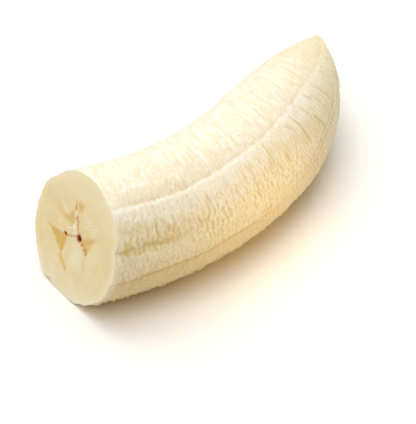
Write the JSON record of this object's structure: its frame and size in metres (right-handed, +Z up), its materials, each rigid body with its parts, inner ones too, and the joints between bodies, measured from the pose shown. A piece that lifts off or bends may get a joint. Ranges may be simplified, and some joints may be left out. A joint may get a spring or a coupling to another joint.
{
  "type": "peeled cut banana",
  "caption": "Thick end piece of a peeled banana, bent in plan, tapering to a blunt tip, with a slanted cut face, lying on its side.",
  "frame": {"origin": "on the resting plane, under the middle of the piece's box", "axes": "+X from the cut end to the tip, +Z up, -Y towards the outer side of the bend"},
  "size_m": [0.1292, 0.05, 0.0324],
  "materials": {
    "banana_flesh": "pale cream ripe fruit flesh, soft and slightly see-through, fibrous outside and moist on the cut face"
  },
  "bodies": {
    "root": {"banana_flesh": "banana_flesh"}
  },
  "joints": []
}
